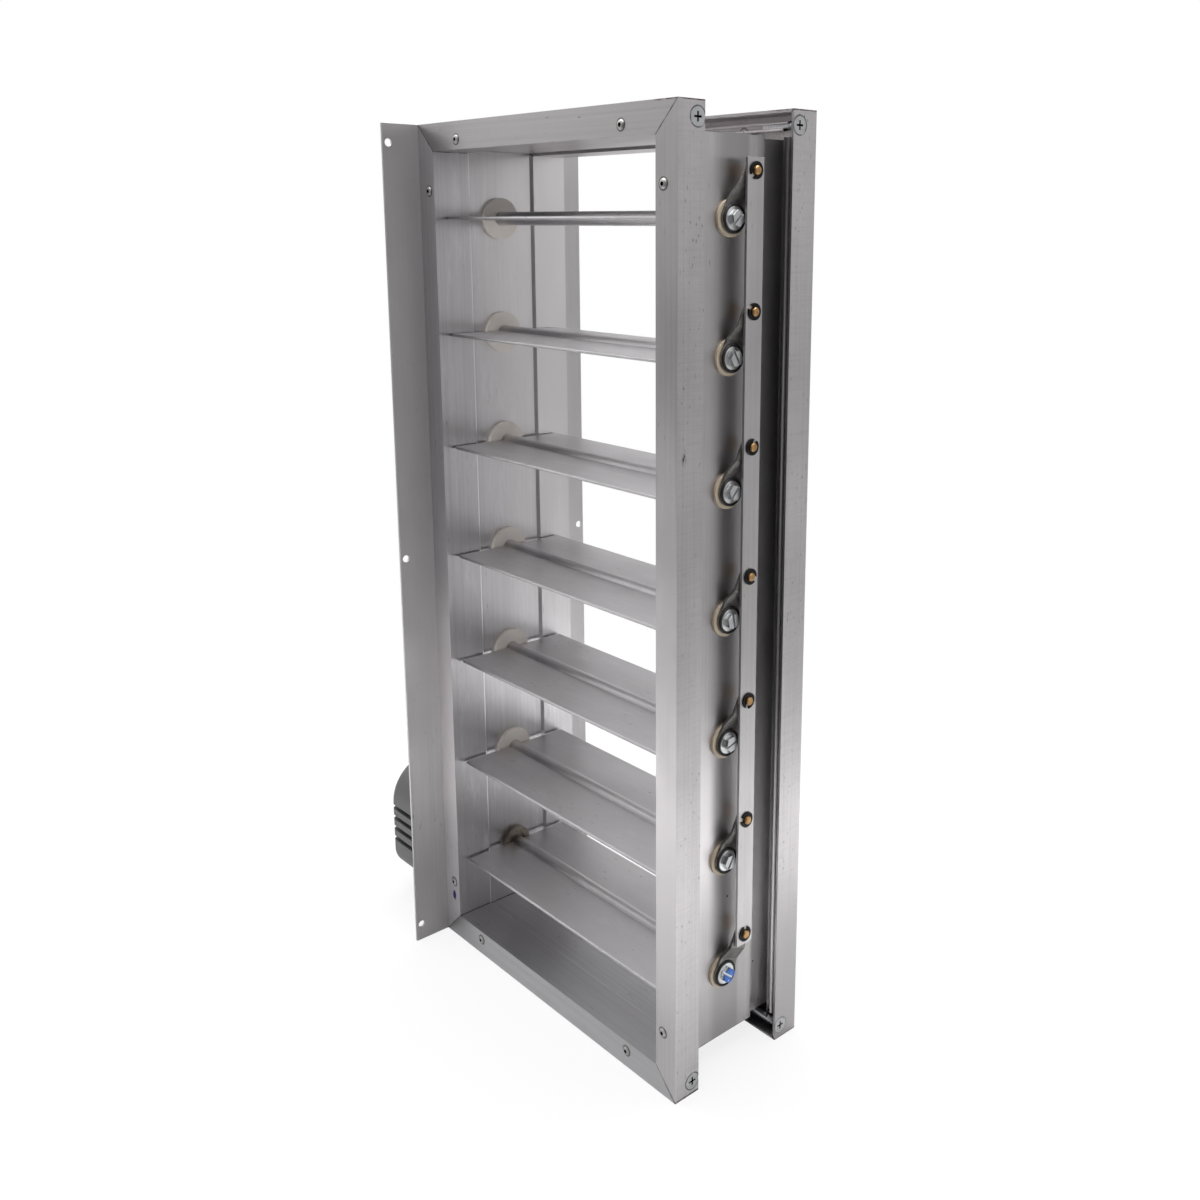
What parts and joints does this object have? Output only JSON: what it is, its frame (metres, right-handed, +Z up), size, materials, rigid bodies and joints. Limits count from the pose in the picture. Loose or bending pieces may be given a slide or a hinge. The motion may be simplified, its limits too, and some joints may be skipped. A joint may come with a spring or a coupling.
{
  "type": "rectangular zone damper",
  "caption": "Slip-in duct damper: mitred extruded frame, parallel flat blades on nylon bushings, side linkage bar, mounting plate and a vented drive actuator.",
  "frame": {"origin": "centre of the mounting plate's corner holes, on the plate face that seats on the duct wall", "axes": "+X along the blades into the duct, +Y with the air, +Z up"},
  "size_m": [0.3225, 0.15, 0.55],
  "materials": {
    "mill_aluminium": "mill finish extrusion, fine lines along each length",
    "plate_aluminium": "mill finish sheet",
    "blade_aluminium": "mill finish extrusion",
    "bar_aluminium": "mill finish flat bar",
    "rivet_aluminium": "plain rivet",
    "zinc_steel": "bright zinc plate",
    "shaft_steel": "plain turned steel",
    "motor_steel": "plain steel case",
    "white_nylon": "natural nylon",
    "tan_nylon": "tan nylon",
    "bronze": "sintered bronze, dull",
    "dark_steel": "dark oxide steel sheet",
    "black_steel": "black oxide spring steel",
    "brass": "turned brass",
    "actuator_plastic": "dark grey satin moulding"
  },
  "bodies": {
    "frame": {"frame_top": "mill_aluminium", "frame_bottom": "mill_aluminium", "frame_left": "mill_aluminium", "frame_right": "mill_aluminium", "corner_brackets": "zinc_steel", "frame_screws": "zinc_steel", "flange_rivets": "rivet_aluminium", "mounting_plate": "plate_aluminium", "plate_rivets": "rivet_aluminium", "bushings_left": "white_nylon", "bushings_right": "tan_nylon", "drive_bushing": "bronze", "outer_washers": "tan_nylon", "actuator_base": "actuator_plastic", "actuator_cover": "actuator_plastic", "cover_screws": "zinc_steel", "base_screws": "zinc_steel", "gear_motor": "motor_steel"},
    "drive_blade_set": {"blade_1": "blade_aluminium", "crank_arm_1": "dark_steel", "crank_screw_1": "zinc_steel", "pivot_pin_1": "brass", "pin_clip_1": "black_steel", "drive_shaft": "shaft_steel", "output_hub": "shaft_steel", "hub_set_screw": "zinc_steel"},
    "blade_set_2": {"blade_2": "blade_aluminium", "crank_arm_2": "dark_steel", "crank_screw_2": "zinc_steel", "pivot_pin_2": "brass", "pin_clip_2": "black_steel"},
    "blade_set_3": {"blade_3": "blade_aluminium", "crank_arm_3": "dark_steel", "crank_screw_3": "zinc_steel", "pivot_pin_3": "brass", "pin_clip_3": "black_steel"},
    "blade_set_4": {"blade_4": "blade_aluminium", "crank_arm_4": "dark_steel", "crank_screw_4": "zinc_steel", "pivot_pin_4": "brass", "pin_clip_4": "black_steel"},
    "blade_set_5": {"blade_5": "blade_aluminium", "crank_arm_5": "dark_steel", "crank_screw_5": "zinc_steel", "pivot_pin_5": "brass", "pin_clip_5": "black_steel"},
    "blade_set_6": {"blade_6": "blade_aluminium", "crank_arm_6": "dark_steel", "crank_screw_6": "zinc_steel", "pivot_pin_6": "brass", "pin_clip_6": "black_steel"},
    "blade_set_7": {"blade_7": "blade_aluminium", "crank_arm_7": "dark_steel", "crank_screw_7": "zinc_steel", "pivot_pin_7": "brass", "pin_clip_7": "black_steel"},
    "linkage": {"linkage_bar": "bar_aluminium"}
  },
  "joints": [
    {"name": "drive_turn", "type": "hinge", "parent": "frame", "child": "drive_blade_set", "pos_m": [0.12, -0.0018, -0.2184], "axis": [-1, 0, 0], "range_deg": [0, 88]},
    {"name": "blade_2_turn", "type": "hinge", "parent": "frame", "child": "blade_set_2", "pos_m": [0.12, -0.0018, -0.1456], "axis": [-1, 0, 0], "range_deg": [0, 88]},
    {"name": "blade_3_turn", "type": "hinge", "parent": "frame", "child": "blade_set_3", "pos_m": [0.12, -0.0018, -0.0728], "axis": [-1, 0, 0], "range_deg": [0, 88]},
    {"name": "blade_4_turn", "type": "hinge", "parent": "frame", "child": "blade_set_4", "pos_m": [0.12, -0.0018, 0], "axis": [-1, 0, 0], "range_deg": [0, 88]},
    {"name": "blade_5_turn", "type": "hinge", "parent": "frame", "child": "blade_set_5", "pos_m": [0.12, -0.0018, 0.0728], "axis": [-1, 0, 0], "range_deg": [0, 88]},
    {"name": "blade_6_turn", "type": "hinge", "parent": "frame", "child": "blade_set_6", "pos_m": [0.12, -0.0018, 0.1456], "axis": [-1, 0, 0], "range_deg": [0, 88]},
    {"name": "blade_7_turn", "type": "hinge", "parent": "frame", "child": "blade_set_7", "pos_m": [0.12, -0.0018, 0.2184], "axis": [-1, 0, 0], "range_deg": [0, 88]},
    {"name": "bar_swing", "type": "hinge", "parent": "drive_blade_set", "child": "linkage", "pos_m": [0.2356, 0.00792, -0.19396], "axis": [-1, 0, 0], "range_deg": [-88, 0]}
  ],
  "couplings": [
    {"joint": "blade_2_turn", "follows": "drive_turn", "ratio": 1},
    {"joint": "blade_3_turn", "follows": "drive_turn", "ratio": 1},
    {"joint": "blade_4_turn", "follows": "drive_turn", "ratio": 1},
    {"joint": "blade_5_turn", "follows": "drive_turn", "ratio": 1},
    {"joint": "blade_6_turn", "follows": "drive_turn", "ratio": 1},
    {"joint": "blade_7_turn", "follows": "drive_turn", "ratio": 1},
    {"joint": "bar_swing", "follows": "drive_turn", "ratio": -1}
  ]
}
